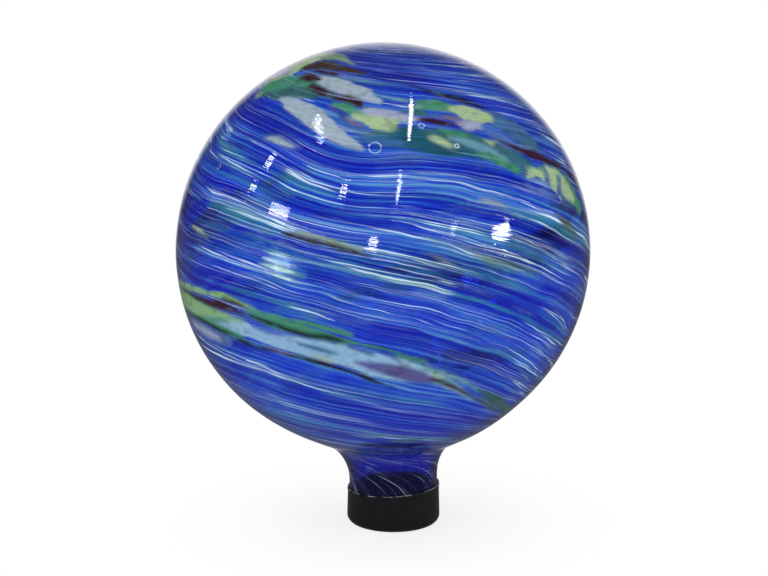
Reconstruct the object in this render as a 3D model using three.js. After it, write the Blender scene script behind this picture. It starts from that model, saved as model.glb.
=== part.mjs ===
// Garden gazing ball: a hollow ball blown in swirled glass, drawn out below into an open neck,
// with a soft black cap pushed over the neck's end. The ball stands on the cap, or the capped
// neck drops into the ring of a garden stand.
// Millimetres, +Z up. The origin is the centre of the cap's underside, on the neck's axis.
import * as THREE from "three";

// The whole ornament
const globeDiameter = 254;
const overallHeight = 300;

// The glass: one blown piece
const globeWall = 2.4;
const neckDiameter = 55.2;
const neckWall = 3.4;
const flareRadius = 28; // concave sweep from the neck out to the ball
const pullIn = 5.4; // the ball's underside is pulled in by up to this towards the neck
const pullStart = 20; // the pull starts this far below the ball's centre
const lipRound = 1.2; // fire-polished edge of the open end
const neckOffset = 6.5; // the neck was drawn out this far off the ball's axis
const leanHeight = 63; // the height over which the ball runs off the neck's axis

// The cap: one moulding
const capHeight = 24;
const capFootWall = 1.2; // at the foot, tapering to capRimWall
const capRimWall = 1;
const capFloor = 2.4;
const capFootRound = 5; // outer edge between the wall and the flat underside
const capRimRound = 0.4;
const capRimRise = 1.5; // the rim is out of square: higher by this at +X, lower at -X

// How the cap sits on the neck
const gripClearance = 0.3; // between the neck and the cap's wall, all round
const seatClearance = 0.3; // between the neck's lip and the cap's floor

// How finely the curves are stepped
const stepsRound = 60;
const upperSteps = 14; // crown to equator
const lowerSteps = 10; // equator to flare
const flareSteps = 7;
const neckSteps = 4; // straight part of the neck, flare to lip
const footSteps = 6;
const roundSteps = 3;

const globeRadius = globeDiameter / 2;
const globeCentre = overallHeight - globeRadius;
const neckRadius = neckDiameter / 2;
const lipHeight = capFloor + seatClearance;
const lipCentre = lipHeight + lipRound;

const glass = new THREE.MeshStandardMaterial({ color: 0x1a2cc0, roughness: 0.05, metalness: 0 });
const rubber = new THREE.MeshStandardMaterial({ color: 0x14161a, roughness: 0.45, metalness: 0 });

// A profile point: x is the distance from the axis, y the height.
const at = (radius, height) => new THREE.Vector2(radius, height);

// Points along a circular arc of a profile. Angles are from the outward direction, upward positive.
function arc(centre, radius, from, to, steps) {
  const points = [];
  for (let i = 0; i <= steps; i++) {
    const angle = THREE.MathUtils.lerp(from, to, i / steps);
    points.push(at(centre.x + radius * Math.cos(angle), centre.y + radius * Math.sin(angle)));
  }
  return points;
}

// The wall line of the glass from the crown of the ball down to the lip: a sphere, a flare that
// touches both the sphere and the neck's cylinder, then the neck itself. The neck is stepped
// along its height, because only its part above the cap leans.
function glassLine(ballRadius, throatRadius, sweepRadius) {
  const reach = ballRadius + sweepRadius;
  const sweepAxis = throatRadius + sweepRadius;
  const drop = Math.sqrt(reach ** 2 - sweepAxis ** 2);
  const touchAngle = Math.atan2(drop, sweepAxis);
  const sweepCentre = at(sweepAxis, globeCentre - drop);
  const ballCentre = at(0, globeCentre);
  const upper = arc(ballCentre, ballRadius, Math.PI / 2, 0, upperSteps);
  const lower = arc(ballCentre, ballRadius, 0, -touchAngle, lowerSteps);
  const sweep = arc(sweepCentre, sweepRadius, Math.PI - touchAngle, Math.PI, flareSteps);
  const crown = at(0, globeCentre + ballRadius);
  const neck = [];
  for (let i = 1; i < neckSteps; i++) {
    neck.push(at(throatRadius, THREE.MathUtils.lerp(sweepCentre.y, lipCentre, i / neckSteps)));
  }
  return [crown, ...upper.slice(1), ...lower.slice(1), ...sweep.slice(1), ...neck].map(pulledIn);
}

// The ball isn't a true sphere: its underside was pulled in as the neck was drawn out. The pull
// grows towards the neck and fades again over the flare.
function pulledIn(point) {
  const below = Math.max(0, globeCentre - pullStart - point.y) / globeRadius;
  const offNeck = THREE.MathUtils.clamp((point.x - neckRadius) / flareRadius, 0, 1);
  return at(point.x - pullIn * below ** 2 * offNeck, point.y);
}

// How far the glass has moved towards -X at a height, as the ball runs off the neck's axis.
function lean(height) {
  return -neckOffset * THREE.MathUtils.smoothstep(height, capHeight, capHeight + leanHeight);
}

// Ball and neck: the inner line from the crown down to the lip, round the lip, and the outer line
// back up.
function glassGlobe() {
  const boreRadius = neckRadius - neckWall;
  const inside = glassLine(globeRadius - globeWall, boreRadius, flareRadius + neckWall);
  const outside = glassLine(globeRadius, neckRadius, flareRadius).reverse();
  const lip = [
    ...arc(at(boreRadius + lipRound, lipCentre), lipRound, -Math.PI, -Math.PI / 2, roundSteps),
    ...arc(at(neckRadius - lipRound, lipCentre), lipRound, -Math.PI / 2, 0, roundSteps),
  ];
  const geometry = turned([...inside, ...lip, ...outside]);
  const position = geometry.getAttribute("position");
  for (let i = 0; i < position.count; i++) {
    position.setX(i, position.getX(i) + lean(position.getY(i)));
  }
  return geometry;
}

// The push-on cap: a flat-bottomed cup with a thick floor and a thin tapering wall. Its line runs
// out along the underside, round the foot, up the outside, over the rim and down inside, to a
// corner that follows the neck's lip.
function endCap() {
  const socketRadius = neckRadius + gripClearance;
  const footRadius = socketRadius + capFootWall;
  const rimRadius = socketRadius + capRimWall;
  const foot = at(footRadius - capFootRound, capFootRound);
  const rimOutside = at(rimRadius - capRimRound, capHeight - capRimRound);
  const rimInside = at(socketRadius + capRimRound, capHeight - capRimRound);
  const cornerRound = lipRound + gripClearance;
  const corner = at(socketRadius - cornerRound, capFloor + cornerRound);
  const geometry = turned([
    at(0, 0),
    ...arc(foot, capFootRound, -Math.PI / 2, 0, footSteps),
    ...arc(rimOutside, capRimRound, 0, Math.PI / 2, roundSteps),
    ...arc(rimInside, capRimRound, Math.PI / 2, Math.PI, roundSteps),
    ...arc(corner, cornerRound, 0, -Math.PI / 2, roundSteps),
    at(0, capFloor),
  ]);
  const position = geometry.getAttribute("position");
  for (let i = 0; i < position.count; i++) {
    const rise = rimRise(position.getY(i)) * position.getX(i) / rimRadius;
    position.setY(i, position.getY(i) + rise);
  }
  return geometry;
}

// The cap's wall is cut out of square, so its height changes across X. The change grows from
// nothing at the foot to its full size at the rim.
function rimRise(height) {
  return capRimRise * THREE.MathUtils.clamp((height - capFootRound) / (capHeight - capFootRound), 0, 1);
}

// Turns a profile about the upright axis.
function turned(profile) {
  return new THREE.LatheGeometry(profile, stepsRound);
}

// A turned piece stands along its geometry's Y, which is the ornament's Z.
function upright(name, geometry, material) {
  const mesh = new THREE.Mesh(geometry, material);
  mesh.name = name;
  mesh.rotation.x = Math.PI / 2;
  return mesh;
}

const gazingBall = new THREE.Group();
gazingBall.add(upright("glass_globe", glassGlobe(), glass));
gazingBall.add(upright("end_cap", endCap(), rubber));

export default gazingBall;
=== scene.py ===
"""A garden gazing ball: swirled cobalt glass on a short neck, closed by a black push-on cap."""

import math
from collections import namedtuple
from functools import reduce

import bmesh
import bpy
import numpy as np
from bpy.props import FloatProperty, FloatVectorProperty, IntProperty, PointerProperty
from mathutils import Matrix, Vector, noise


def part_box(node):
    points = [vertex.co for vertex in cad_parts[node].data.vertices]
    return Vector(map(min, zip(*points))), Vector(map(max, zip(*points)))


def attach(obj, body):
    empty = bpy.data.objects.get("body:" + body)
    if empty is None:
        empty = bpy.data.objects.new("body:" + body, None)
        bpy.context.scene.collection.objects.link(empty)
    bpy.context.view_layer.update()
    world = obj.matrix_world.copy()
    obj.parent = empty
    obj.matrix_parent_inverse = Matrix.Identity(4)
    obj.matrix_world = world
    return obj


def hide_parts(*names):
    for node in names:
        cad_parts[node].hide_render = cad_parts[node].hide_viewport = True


bl_info = {
    "name": "Garden gazing ball",
    "version": (1, 0, 0),
    "blender": (4, 5, 0),
    "location": "3D View > Sidebar > Gazing Ball",
    "description": "Builds a blown glass gazing ball with its end cap",
    "category": "Add Mesh",
}

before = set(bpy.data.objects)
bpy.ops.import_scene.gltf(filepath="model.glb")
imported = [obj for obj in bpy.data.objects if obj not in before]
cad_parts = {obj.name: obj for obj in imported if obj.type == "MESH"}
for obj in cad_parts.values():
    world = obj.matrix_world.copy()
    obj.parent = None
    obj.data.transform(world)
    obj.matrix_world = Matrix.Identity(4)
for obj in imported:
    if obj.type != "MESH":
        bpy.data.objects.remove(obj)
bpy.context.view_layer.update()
glass_low, glass_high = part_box("glass_globe")

MM = 0.001


def srgb(red, green, blue):
    """A screen colour, 0 to 255 a channel, as Blender's linear colour."""
    def linear(level):
        share = level / 255
        return share / 12.92 if share <= 0.04045 else ((share + 0.055) / 1.055) ** 2.4
    return linear(red), linear(green), linear(blue)


def number(name, description, default, **more):
    return FloatProperty(name=name, description=description, default=default, **more)


def length(name, description, default):
    return number(name, description, default, unit="LENGTH", subtype="DISTANCE", precision=5)


def colour(name, description, default):
    return FloatVectorProperty(name=name, description=description, default=default, size=3,
                               min=0, max=1, subtype="COLOR")


# Trails of coloured glass

# Each colour of frit: its tint, and how much of the light it stops.
FRIT = {
    # Painted reflection, not frit: a window mirrored in the ball's inner back wall, painted as a
    # pale, nearly opaque streak.
    "window_reflection": (srgb(216, 246, 248), 0.95),
    "lime": (srgb(166, 190, 134), 0.85),
    "spring": (srgb(132, 176, 112), 0.85),
    "clover": (srgb(76, 148, 106), 0.82),
    "leaf": (srgb(64, 136, 96), 0.82),
    "moss": (srgb(48, 96, 86), 0.75),
    "fern": (srgb(60, 114, 112), 0.5),
    "lagoon": (srgb(24, 86, 92), 0.72),
    "sage": (srgb(136, 166, 126), 0.65),
    "teal": (srgb(64, 112, 148), 0.5),
    "mint": (srgb(116, 170, 166), 0.58),
    "opal": (srgb(156, 170, 180), 0.92),
    "pearl": (srgb(148, 188, 212), 0.85),
    "lilac": (srgb(156, 160, 182), 0.88),
    "mauve": (srgb(94, 84, 138), 0.75),
    "maroon": (srgb(54, 18, 30), 0.88),
    "brown": (srgb(60, 42, 36), 0.85),
    "olive": (srgb(78, 92, 70), 0.7),
    "cream": (srgb(164, 176, 172), 0.5),
    "rose": (srgb(128, 92, 108), 0.7),
    "soot": (srgb(20, 16, 34), 0.95),
    "navy": (srgb(30, 30, 104), 0.65),
    "sky": (srgb(88, 122, 190), 0.5),
}

# How far inside the frit a place is taken to lie where none is near, and half the width of a
# trail's soft edge, in millimetres.
FAR_OUTSIDE = -8.0
TRAIL_EDGE = 1.4

# A trail or chip of frit: its colour, and the stations along it, each a bearing from the front
# (positive to the right) and a height above the ball's middle, in degrees, and half the width
# there, in millimetres. Later trails lie over earlier ones.
Trail = namedtuple("Trail", "frit stations")
TRAILS = [Trail(frit, stations) for frit, stations in (
    # The upper ribbon, left part
    ("lagoon", ((-7, 39.5, 4), (0.5, 39.5, 7.4), (8.5, 39.5, 8.8), (18.5, 37.5, 8.8), (30, 36, 8.2),
                (40.5, 33, 8.2), (49.5, 28, 5.4))),
    ("fern", ((-51.5, 53.5, 9.2), (-41.5, 55, 12), (-32, 54.5, 7.6))),
    ("sage", ((-66, 52, 6.4), (-68, 57.5, 9.6), (-69.5, 63.5, 9.6), (-67, 70, 9.6), (-43, 72, 5),
              (-20.5, 67.5, 1.8))),
    ("lime", ((-64.5, 53.5, 4), (-64, 57.5, 6.4), (-63, 62.5, 6.4), (-61, 68, 4.8))),
    ("lilac", ((-80, 57.5, 3.2), (-73.5, 60, 4.8), (-64, 61, 2.8))),
    ("opal", ((-35, 59.5, 4.6), (-25.5, 58, 6.4), (-16, 55.5, 6.6), (-8.5, 54, 5.8),
              (-1.5, 51.5, 3))),
    ("lilac", ((-10.5, 47.5, 2.2), (-4.5, 47.5, 4.4), (2.5, 46.5, 4.4), (8, 45.5, 3.8),
               (13, 45, 1.4))),
    ("opal", ((-46.5, 51, 3), (-36, 48.5, 6), (-25.5, 45, 6.6), (-16.5, 40.5, 5.4), (-11, 38, 4.2),
              (-6.5, 36, 1.8))),
    ("moss", ((-55, 53.5, 5.4), (-47.5, 54.5, 6.6), (-38.5, 54.5, 5.4), (-30.5, 53, 3))),
    ("moss", ((-60.5, 53, 6), (-52.5, 55, 10.4), (-44, 56.5, 8.4), (-34, 55.5, 4.6))),
    ("leaf", ((-67, 54, 5.8), (-58.5, 56.5, 7.8), (-49.5, 58, 6.2), (-40, 57.5, 3.4))),
    ("brown", ((-55, 64.5, 4.8), (-46.5, 66.5, 6.2), (-33.5, 66, 4.4), (-21.5, 64.5, 3.4),
               (-11, 63, 2))),
    ("maroon", ((-46.5, 60.5, 4), (-41, 60, 4.4), (-35.5, 59.5, 2.2))),
    ("maroon", ((-43.5, 63.5, 1.8), (-33.5, 62.5, 2.6), (-26.5, 62, 2))),
    ("maroon", ((-36, 56.5, 1.8), (-26.5, 54, 3.4), (-20, 52.5, 3), (-15, 52, 3.2),
                (-10, 50.5, 3.4), (-8.5, 49.5, 1.6))),
    ("leaf", ((-20, 50, 2.2), (-15, 49, 3.8), (-10, 47, 3.4), (-6.5, 45.5, 1.8))),
    ("fern", ((-12.5, 42.5, 1.6), (-8, 41, 3.2), (-3.5, 39.5, 3.2), (0, 39, 2))),
    ("navy", ((-18.5, 48, 1.8), (-15, 46, 2.4), (-11, 44, 1.8))),
    ("rose", ((-21.5, 49, 1.2), (-19, 47.5, 1.2))),
    ("rose", ((-13, 45, 1.6), (-9.5, 43.5, 2), (-7, 42.5, 1))),
    ("lime", ((-11, 46, 2.2), (-7.5, 45.5, 2.8), (-2.5, 44, 5), (2, 43.5, 5), (5.5, 44.5, 2))),
    ("moss", ((-9, 42, 1.4), (-5, 41, 2), (-1, 40.5, 1.4))),
    ("teal", ((-10, 40.5, 2), (-4.5, 39, 3.2), (1, 38, 3.2), (5.5, 38, 2))),
    ("cream", ((-41.5, 38, 2.2), (-36.5, 37.5, 3.6), (-31, 36.5, 3.2), (-27, 35.5, 1.6))),
    ("opal", ((-40, 38, 0.6), (-35, 37, 1.4), (-30, 36, 0.8))),
    # The upper ribbon, right part
    ("mint", ((-3, 54, 1.6), (3, 52.5, 3.2), (9, 51.5, 2.4), (14, 51, 1.6))),
    ("leaf", ((12, 48.5, 2.8), (17, 50, 4.6), (23, 49.5, 5), (28, 48, 3.4))),
    ("moss", ((8.5, 48, 2.4), (11.5, 47.5, 3), (15.5, 47, 2.4))),
    ("moss", ((14, 41.5, 2.2), (19, 40.5, 4.2), (25.5, 39, 5.8), (31, 37, 5.8), (36.5, 35, 4.4),
              (41.5, 33.5, 2.2))),
    ("teal", ((42, 45.5, 4), (46, 43, 8.2), (50.5, 39.5, 9.6), (55.5, 35, 7.6))),
    ("sky", ((35, 42, 3.4), (40.5, 39, 5.2), (45, 36, 5.4), (48.5, 33.5, 2.8))),
    ("fern", ((36.5, 34.5, 3), (41, 32, 6.2), (45.5, 29, 6.4), (49, 26.5, 3.2))),
    ("lime", ((28.5, 48, 3.6), (32.5, 46.5, 6.8), (37.5, 45.5, 6.8), (41, 44.5, 4.4))),
    ("lilac", ((26, 44, 2.4), (30, 42.5, 3.8), (34.5, 42, 3))),
    ("rose", ((21, 45.5, 1.6), (25.5, 45, 3), (28.5, 44.5, 1.6))),
    ("maroon", ((13, 45, 1.2), (17.5, 44.5, 2.6), (22, 43.5, 3), (26, 43, 1.6))),
    ("lime", ((23, 41.5, 1.4), (23.5, 40, 2))),
    ("lime", ((16, 39, 1.4), (18.5, 38, 2), (21, 36.5, 1.4))),
    ("mint", ((23, 39, 1.4), (29, 37, 2.6), (35, 34.5, 2.6), (40, 31.5, 1.6))),
    ("leaf", ((19.5, 42, 1.4), (23.5, 40.5, 2.6), (28.5, 39.5, 1.4))),
    ("leaf", ((30.5, 34, 1.4), (37, 31.5, 3.2), (43, 28, 3))),
    ("lime", ((35.5, 37.5, 0.8), (37, 36.5, 1.2), (39.5, 37, 0.6))),
    ("lime", ((17, 39.5, 0.8), (19, 38.5, 1.4), (21.5, 37, 1.4), (23, 36, 0.8))),
    ("sage", ((8, 48.5, 0.6), (11.5, 50, 1.8), (14.5, 49, 0.8))),
    ("navy", ((10.5, 58.5, 1.4), (19.5, 55.5, 2), (27.5, 53, 2.8), (35, 50.5, 3.4), (41, 48, 2.4),
              (49, 45, 1.4))),
    ("olive", ((23, 54, 1.4), (26.5, 53, 2.4))),
    ("soot", ((13.5, 57, 0.8), (22, 54.5, 1.4), (30.5, 52.5, 1.8), (37.5, 50, 1.8),
              (43.5, 47.5, 1))),
    ("lime", ((46, 26, 1.8), (51.5, 27, 3), (57.5, 26.5, 2.4))),
    ("sky", ((44.5, 24, 2), (49.5, 22, 3.4), (56.5, 19.5, 2.8))),
    ("leaf", ((54, 27, 4.2), (60.5, 24, 8.4), (67, 19.5, 9.6), (71, 15, 6))),
    ("lime", ((57, 27, 4), (61, 24, 6.8), (64.5, 21, 6.8), (67, 18.5, 4))),
    ("lime", ((48.5, 28, 2), (54, 25.5, 3.6), (58, 21.5, 3.2), (59.5, 18, 1.8))),
    ("teal", ((56, 27, 1.6), (54.5, 22.5, 2.6))),
    ("teal", ((62.5, 24.5, 1.4), (59.5, 20.5, 2.2))),
    ("navy", ((53, 18, 1.8), (59, 16.5, 4), (67, 14, 3.4))),
    ("maroon", ((39, 38, 0.8), (43, 36, 1.4), (48.5, 33.5, 2.4), (54.5, 31.5, 3.6), (61, 29, 3),
                (68.5, 26.5, 2), (73.5, 23, 2.6), (78, 19.5, 2.2))),
    ("cream", ((26.5, 22, 0.8), (30, 21, 2.2), (34, 19.5, 2.4), (37, 18, 1.2))),
    ("mint", ((34.5, 18.5, 1.2), (39, 16.5, 2.4), (45, 14, 1.2))),
    # Thin smears about the middle
    ("mint", ((8, 13.5, 0.8), (12, 12.5, 1.6), (16, 11, 1.6), (20.5, 10, 0.8))),
    ("fern", ((23.5, 8, 1.6), (28.5, 6, 3.4), (35, 4, 3.4), (42.5, 1, 1.8))),
    ("mint", ((24.5, 6.5, 0.8), (29.5, 4.5, 1.6), (34.5, 2.5, 1.2))),
    ("fern", ((15, 16, 1.2), (18, 14.5, 1.6), (22, 13.5, 1.2))),
    ("cream", ((18, 11, 0.8), (20.5, 10, 1.6), (24, 8.5, 2), (28, 7, 0.8))),
    ("rose", ((17, 11, 0.6), (19.5, 10.5, 0.8))),
    ("cream", ((9, 9.5, 0.8), (12.5, 8.5, 1.2), (16, 6.5, 1.6), (18.5, 6, 0.8))),
    ("lime", ((-23, 13.5, 1.2), (-18, 12.5, 2), (-11, 11, 2), (-5.5, 10, 1.2))),
    ("cream", ((-30.5, 10.5, 1), (-27, 10.5, 1.8), (-23, 10, 1))),
    ("brown", ((-27, 13, 1), (-23, 12.5, 2.2), (-17.5, 11.5, 2.2), (-12.5, 10.5, 2),
               (-7.5, 9.5, 1.6), (-3, 8, 1))),
    ("lime", ((-64, 11, 1), (-58.5, 10.5, 1.8), (-54, 9.5, 1))),
    ("cream", ((35, -6.5, 0.6), (38.5, -8, 1.4), (44.5, -10.5, 0.6))),
    ("mint", ((8.5, -0.5, 0.6), (12, -1.5, 1.2), (16, -2.5, 0.6))),
    ("sky", ((22, -8, 1.2), (26.5, -10.5, 2.2), (32.5, -14, 2.2), (38, -17, 1.2))),
    ("mint", ((-34, 5, 1.2), (-27, 4, 2.8), (-20, 2.5, 1.2))),
    # Painted reflection: these four pale streaks stand for a window mirrored in the ball's inner
    # back wall, painted into the glass.
    ("window_reflection", ((-32.5, 8, 0.4), (-27, 7.5, 1.2), (-21.5, 6.5, 0.4))),
    ("window_reflection", ((-32.5, 6.5, 0.4), (-27.5, 5.5, 1.4), (-22, 5, 0.4))),
    ("window_reflection", ((-32, 4.5, 0.4), (-28, 4, 1.8), (-23, 3.5, 0.4))),
    ("window_reflection", ((-31.5, 3, 0.4), (-28, 2.5, 1.2), (-24, 1.5, 0.4))),
    # The lower ribbon
    ("leaf", ((-77, -12, 6.6), (-62, -11, 8.8), (-52, -12, 8.6), (-42.5, -14, 6))),
    ("sky", ((-76, -16.5, 6.6), (-60, -17.5, 7.2), (-48, -18, 4.8))),
    ("pearl", ((-44.5, -12.5, 3.6), (-38, -13.5, 5), (-30, -15, 5.8), (-22.5, -16, 6.6),
               (-15.5, -17, 7.2), (-9, -18.5, 8), (-2.5, -20.5, 8.6), (4.5, -22, 8.6),
               (11.5, -24, 7.2), (18, -26.5, 5), (24, -30.5, 3), (30.5, -35, 1.8))),
    ("pearl", ((-51.5, -12.5, 2), (-46, -12.5, 3.4), (-40.5, -13, 4.4))),
    ("clover", ((-74, -13, 3), (-63, -12.5, 3.6), (-52.5, -12.5, 2.4), (-46, -12, 1.4))),
    ("spring", ((-76, -10, 5.6), (-62, -10.5, 5.2), (-52.5, -10.5, 3.2), (-45.5, -10.5, 2.2),
                (-39.5, -11, 1.2))),
    ("spring", ((-76, -6.5, 2.6), (-60, -5.5, 2.8), (-53.5, -5.5, 2.2), (-46, -5, 2.2),
                (-40, -6.5, 2.6), (-35.5, -7.5, 2))),
    ("clover", ((-37.5, -8, 2.2), (-33, -8.5, 2.8), (-29, -9, 3), (-24, -10, 3),
                (-19.5, -10.5, 2))),
    ("leaf", ((-37, -9, 2.2), (-31.5, -10.5, 3.2), (-25.5, -11, 4.4), (-20.5, -11.5, 4.2),
              (-16, -12.5, 3.8), (-11.5, -13.5, 2.8), (-6, -14.5, 2.2), (0.5, -16, 2),
              (6.5, -18.5, 2), (11.5, -20, 1.6))),
    ("leaf", ((-24, -9.5, 1.6), (-18.5, -10, 2.4), (-13.5, -11, 2.4), (-8, -12, 1.6))),
    ("mint", ((11.5, -21.5, 1.2), (16, -23.5, 2.6), (20.5, -25.5, 3.2), (26.5, -28.5, 2.4),
              (31.5, -32, 1.8))),
    ("mauve", ((-7, -20, 1), (-1, -21.5, 3.4), (4.5, -23, 4.8), (10.5, -25, 4.6),
               (14.5, -26.5, 2))),
    ("moss", ((30, -31, 1.2), (34.5, -33.5, 3), (41, -37, 4.2), (49.5, -41.5, 3.8),
              (63, -46.5, 2.6))),
    ("olive", ((24.5, -31, 1), (30.5, -34, 2), (38.5, -38.5, 2.2), (48.5, -43.5, 1.2))),
    ("brown", ((14, -25.5, 1), (16.5, -26.5, 2.2), (20.5, -28.5, 2), (26, -31.5, 1.2),
               (33, -35, 1))),
    ("lime", ((14, -24, 0.6), (16.5, -25, 1))),
    ("maroon", ((-63.5, -7.5, 1), (-55, -8, 2.6), (-48, -8, 3.2), (-43, -8.5, 2.2),
                (-39.5, -9, 1))),
    ("brown", ((-46.5, -6, 1), (-42.5, -6.5, 1.8), (-39, -7, 1))),
    ("soot", ((-76, -7.5, 1), (-65, -7.5, 1.3), (-58.5, -8, 1))),
    ("soot", ((-40.5, -8.5, 1.2), (-33, -10, 1.4), (-26.5, -11.5, 1.6), (-20.5, -13, 1.8),
              (-15.5, -13, 1.5), (-10.5, -14, 1))),
    ("navy", ((-8.5, -15.5, 0.6), (-5.5, -16.5, 0.8), (-3, -17.5, 0.6))),
    ("navy", ((0, -17, 0.6), (2.5, -18, 0.8), (4, -19.5, 0.6))),
    ("sky", ((-37, -12, 0.6), (-31.5, -13, 1.4), (-27, -13.5, 0.8))),
    ("fern", ((-22.5, -15.5, 0.6), (-17.5, -16.5, 1.4), (-13, -17.5, 0.6))),
    ("soot", ((-74, -14, 1.2), (-61, -14, 1.6), (-53, -15, 1.8), (-44.5, -16.5, 1.8),
              (-37, -18, 1.6), (-30.5, -18.5, 1.6), (-23, -19.5, 1.6), (-17, -20.5, 1.6),
              (-12, -22, 1.8), (-7.5, -23.5, 1.8), (-3, -25.5, 1.6), (3.5, -28.5, 1.2))),
    ("rose", ((-32, -17.5, 0.8), (-28.5, -18.5, 1.2), (-25.5, -18.5, 0.6))),
    ("lime", ((-18.5, -19, 0.8), (-15.5, -19.5, 1.2), (-13.5, -20, 0.6))),
    ("lilac", ((-68, -16.5, 1.8), (-58, -17.5, 3.2), (-52, -18, 1.6))),
    ("mint", ((-13.5, -49.5, 2.2), (-4.5, -50.5, 3.4), (4.5, -49.5, 2))),
    ("fern", ((3, -53.5, 3.2), (13, -53.5, 4.8), (20.5, -51.5, 2.4))),
    ("navy", ((-8.5, -56.5, 4), (4.5, -58, 6.4), (20.5, -57, 3.2))),
    ("olive", ((54.5, 15.5, 1.6), (58.5, 12.5, 3.4), (64, 8.5, 2.8))),
    ("fern", ((23, 15, 0.8), (31.5, 11, 1.8), (42, 6, 1.8), (51.5, 1, 1))),
    # Round the back
    ("lime", ((84, 10, 1.4), (94, 6.6, 4.4), (106, 2.6, 6), (118, -1.4, 4.4), (128, -4.6, 1.4))),
    ("opal", ((104, 0.6, 1.4), (115, -2.4, 5), (128, -6, 8), (146, -10, 8), (164, -13.6, 6),
              (182, -17, 3), (194, -19.8, 1))),
    ("leaf", ((112, -6.6, 1), (126, -9.8, 3.4), (142, -13.4, 4), (166, -19, 4.6), (188, -23.4, 2.4),
              (202, -26, 1))),
    ("maroon", ((96, 13, 1.2), (108, 5.6, 2.4), (122, 0, 4), (136, -3.6, 1.8))),
    ("soot", ((118, -9.6, 1.2), (140, -16, 1.7), (168, -21.6, 1.2))),
    ("lime", ((202, 16.6, 2), (214, 14.2, 4), (226, 11.6, 3))),
    ("fern", ((220, 13, 3), (240, 8.6, 4), (260, 3.4, 4), (278, -1.4, 5))),
    ("mint", ((200, 12.4, 1.4), (214, 9, 5), (230, 5, 8), (250, 0, 9), (268, -5, 7), (280, -8, 5))),
    ("rose", ((234, 9.4, 2), (244, 6.4, 4), (256, 2.8, 2), (280, -3.4, 1.2))),
    ("navy", ((206, 7, 1.2), (230, 0, 1.8), (254, -5.4, 1.7), (278, -10.4, 1.2))),
    ("leaf", ((272, 56.4, 1.4), (260, 60.6, 5), (240, 66, 7), (212, 70, 6), (186, 69, 3),
              (172, 67, 1))),
    ("opal", ((138, 60, 1.4), (152, 58.4, 5), (170, 56, 8), (194, 53, 8), (212, 51.4, 4),
              (226, 50.4, 1.4))),
    ("maroon", ((158, 53, 1.6), (180, 50, 3), (202, 47, 1.6))),
    ("teal", ((86, 36.4, 1.4), (98, 33.6, 5), (114, 30, 7), (132, 25.4, 5), (144, 22.4, 1.4))),
    ("lime", ((138, 46, 2.6), (150, 42.6, 5), (160, 40, 2.6))),
    ("cream", ((160, 22, 2), (171, 19.6, 4), (182, 16.6, 2))),
    ("moss", ((56, -46.5, 3.6), (76, -52, 4), (102, -56, 2.4))),
    ("opal", ((118, -37, 2.4), (138, -41, 6), (158, -45, 5), (178, -49, 2.2))),
    ("soot", ((110, -35, 1.2), (138, -45, 1.7), (168, -50.6, 1.2))),
    ("cream", ((198, -27.6, 2), (211, -30.4, 4), (224, -33, 1.6))),
    ("sky", ((230, -24, 3), (244, -28, 5), (262, -32, 3))),
)]


# Half the width of a veil's soft edge, in millimetres.
VEIL_EDGE = 4

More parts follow.
